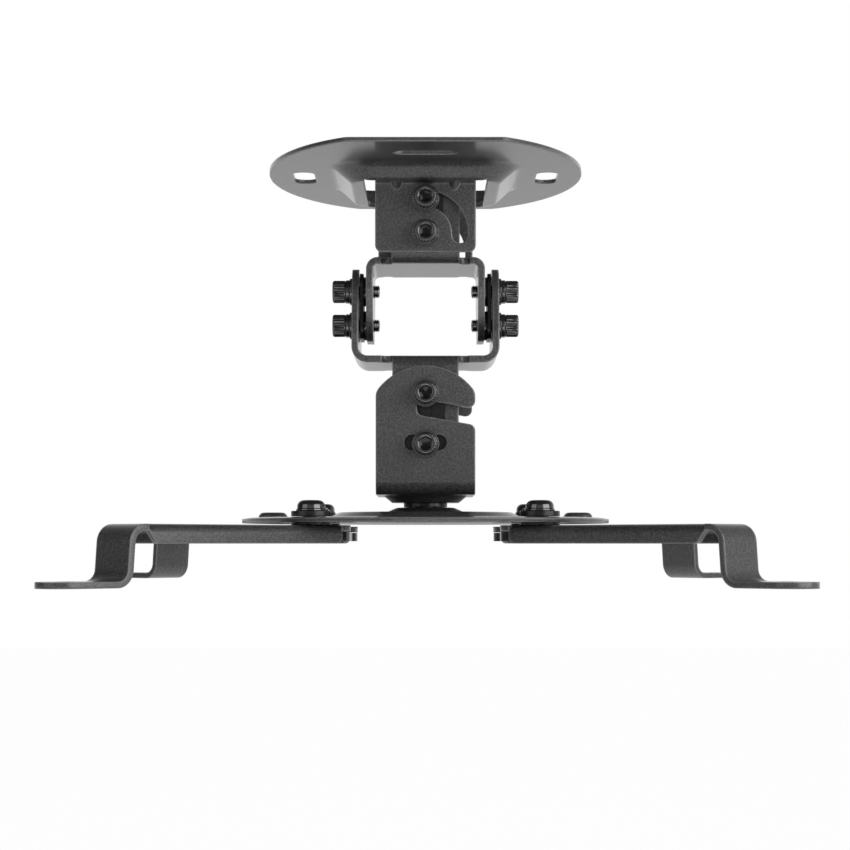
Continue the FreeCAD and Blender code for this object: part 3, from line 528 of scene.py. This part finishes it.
def hex_bolt(length):
    """Low hexagon-headed bolt; the head stands on the origin."""
    rings = shank_rings(HEX_RADIUS, HEX_PITCH, length, HEX_THREAD_LENGTH)
    rings += profile(0, HEX_RADIUS, HEX_NECK)
    rings += profile(0, HEX_HEAD_APOTHEM, HEX_FOOT)
    rings += profile(0, 0, HEX_CORNERS, trimmed_hexagon)
    rings += profile(HEX_HEAD_HEIGHT, HEX_HEAD_APOTHEM, HEX_FACE)
    return lathe("hex_bolt", rings)


def outward_of(node):
    """Direction in which a screw's head faces."""
    if node.startswith("clamp"):
        return Vector((0, 0, 1))
    if node.startswith("swivel"):
        return Vector((0, 0, -1))
    sides = {"front": (0, -1, 0), "rear": (0, 1, 0), "left": (-1, 0, 0), "right": (1, 0, 0)}
    return Vector(sides[node.rsplit("_", 1)[1]])


def dress(node, maker, head_height, turn):
    """Put a detailed screw in the place of a plain one."""
    low, high = (Vector(corner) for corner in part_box(node))
    outward = outward_of(node)
    overall = abs((high - low).dot(outward))
    seat = (low + high) / 2 + outward * (overall / 2 - head_height)
    piece = bpy.data.objects.new(node + "_dressed", maker(overall - head_height))
    bpy.context.scene.collection.objects.link(piece)
    facing = Vector((0, 0, 1)).rotation_difference(outward).to_matrix().to_4x4()
    piece.matrix_world = Matrix.Translation(seat) @ facing @ Matrix.Rotation(turn, 4, "Z")
    piece.data.materials.append(SCREW_STEEL)
    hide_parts(node)
    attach(piece, body_of_node[node])


def dress_screws():
    """Give each screw its own turn, as hand-tightened screws have."""
    for index, node in enumerate(sorted(nodes)):
        turn = math.radians(SCREW_TURN_STEP * index)
        if node.startswith("clamp_screw"):
            dress(node, pan_screw, PAN_HEAD_HEIGHT, turn)
        elif "_screw_" in node:
            dress(node, cap_screw, CAP_HEAD_HEIGHT, turn)
    dress("swivel_bolt", hex_bolt, HEX_HEAD_HEIGHT, 0)


def falloff(tree, direction, limits, low):
    """Light level that drops from 1 to a lower value towards one direction."""
    coordinates = tree.nodes.new("ShaderNodeTexCoord")
    toward = vector_result(tree, "DOT_PRODUCT", "Value", coordinates.outputs["Generated"], direction)
    return rescale(tree, toward, *limits, 1.0, low)


def background(tree, strength):
    """White light of the room."""
    node = tree.nodes.new("ShaderNodeBackground")
    node.inputs["Color"].default_value = grey(1)
    feed(tree, node.inputs["Strength"], strength)
    return node.outputs[0]


def choose(tree, share, first, second):
    """First shader where a share is 0, and the second where it is 1."""
    node = tree.nodes.new("ShaderNodeMixShader")
    tree.links.new(share, node.inputs["Fac"])
    tree.links.new(first, node.inputs[1])
    tree.links.new(second, node.inputs[2])
    return node.outputs[0]


def stage_room():
    """White background, and a studio that is darker on the camera's side, on the left and overhead."""
    world = bpy.data.worlds.new("room")
    bpy.context.scene.world = world
    world.use_nodes = True
    tree = world.node_tree
    tree.nodes.clear()
    output = tree.nodes.new("ShaderNodeOutputWorld")
    path = tree.nodes.new("ShaderNodeLightPath")
    room = arithmetic(tree, "MULTIPLY", falloff(tree, UP, OVERHEAD_FALLOFF, OVERHEAD_LEVEL),
                      falloff(tree, LEFT, LEFT_SIDE_FALLOFF, LEFT_SIDE_LEVEL))
    studio = arithmetic(tree, "MULTIPLY", room,
                        falloff(tree, CAMERA_SIDE, CAMERA_SIDE_FALLOFF, CAMERA_SIDE_LEVEL))
    soft = arithmetic(tree, "MULTIPLY", room, DIFFUSE_LIGHT)
    gloss = arithmetic(tree, "MAXIMUM", path.outputs["Is Glossy Ray"], path.outputs["Is Transmission Ray"])
    lit = choose(tree, gloss, background(tree, soft), background(tree, studio))
    either = choose(tree, path.outputs["Is Camera Ray"], lit, background(tree, 1.0))
    tree.links.new(either, output.inputs["Surface"])


def stage_floor():
    """Pale floor far below the mount."""
    bpy.ops.mesh.primitive_plane_add(size=2 * FLOOR_HALF, location=(0, 0, FLOOR_Z))
    floor = bpy.context.object
    floor.name = "floor"
    material = bpy.data.materials.new("floor_paint")
    tree, shader, output = node_group(material)
    shader.inputs["Base Color"].default_value = grey(FLOOR_GREY)
    shader.inputs["Roughness"].default_value = FLOOR_ROUGHNESS
    path = tree.nodes.new("ShaderNodeLightPath")
    far = arithmetic(tree, "MULTIPLY", falloff(tree, CAMERA_SIDE, NEAR_FLOOR_FALLOFF, NEAR_FLOOR_LEVEL),
                     FLOOR_GLOW_MIRRORED)
    mirrored = arithmetic(tree, "MULTIPLY", path.outputs["Is Glossy Ray"], far)
    seen = arithmetic(tree, "MULTIPLY", path.outputs["Is Camera Ray"], FLOOR_GLOW)
    glow = tree.nodes.new("ShaderNodeEmission")
    tree.links.new(arithmetic(tree, "ADD", seen, mirrored), glow.inputs["Strength"])
    both = tree.nodes.new("ShaderNodeAddShader")
    tree.links.new(shader.outputs[0], both.inputs[0])
    tree.links.new(glow.outputs[0], both.inputs[1])
    tree.links.new(both.outputs[0], output.inputs["Surface"])
    floor.data.materials.append(material)


def softbox(name, side_angle, lift_angle, width, height, power):
    """Wide soft lamp that looks at the mount, placed by its angles from the camera's direction."""
    light = bpy.data.lights.new(name, "AREA")
    light.shape = "RECTANGLE"
    light.size = width
    light.size_y = height
    light.energy = power
    side = math.radians(side_angle)
    lift = math.radians(lift_angle)
    outward = Vector((math.sin(side) * math.cos(lift), -math.cos(side) * math.cos(lift), math.sin(lift)))
    lamp = bpy.data.objects.new(name, light)
    bpy.context.scene.collection.objects.link(lamp)
    lamp.location = Vector(LAMP_TARGET) + outward * LAMP_DISTANCE
    lamp.rotation_euler = (-outward).to_track_quat("-Z", "Y").to_euler()
    lamp.visible_camera = False


def stage_camera():
    """Level camera whose frame is shifted to hold the whole mount."""
    camera = bpy.data.cameras.new("camera")
    camera.sensor_width = SENSOR_WIDTH
    camera.lens = FOCAL_PIXELS * SENSOR_WIDTH / PICTURE_PIXELS
    camera.shift_x = -MIDDLE_RIGHT_OF_CENTRE / PICTURE_PIXELS
    camera.shift_y = HORIZON_BELOW_MIDDLE / PICTURE_PIXELS
    camera.clip_start = NEAR_CLIP
    eye = bpy.data.objects.new("camera", camera)
    bpy.context.scene.collection.objects.link(eye)
    eye.location = (0, -CAMERA_DISTANCE, CAMERA_HEIGHT)
    eye.rotation_euler = (math.radians(90), 0, 0)
    bpy.context.scene.camera = eye


finish_nodes()
dress_screws()
stage_room()
stage_floor()
for lamp_values in SOFTBOXES:
    softbox(*lamp_values)
stage_camera()
bpy.context.scene.view_settings.view_transform = "Standard"
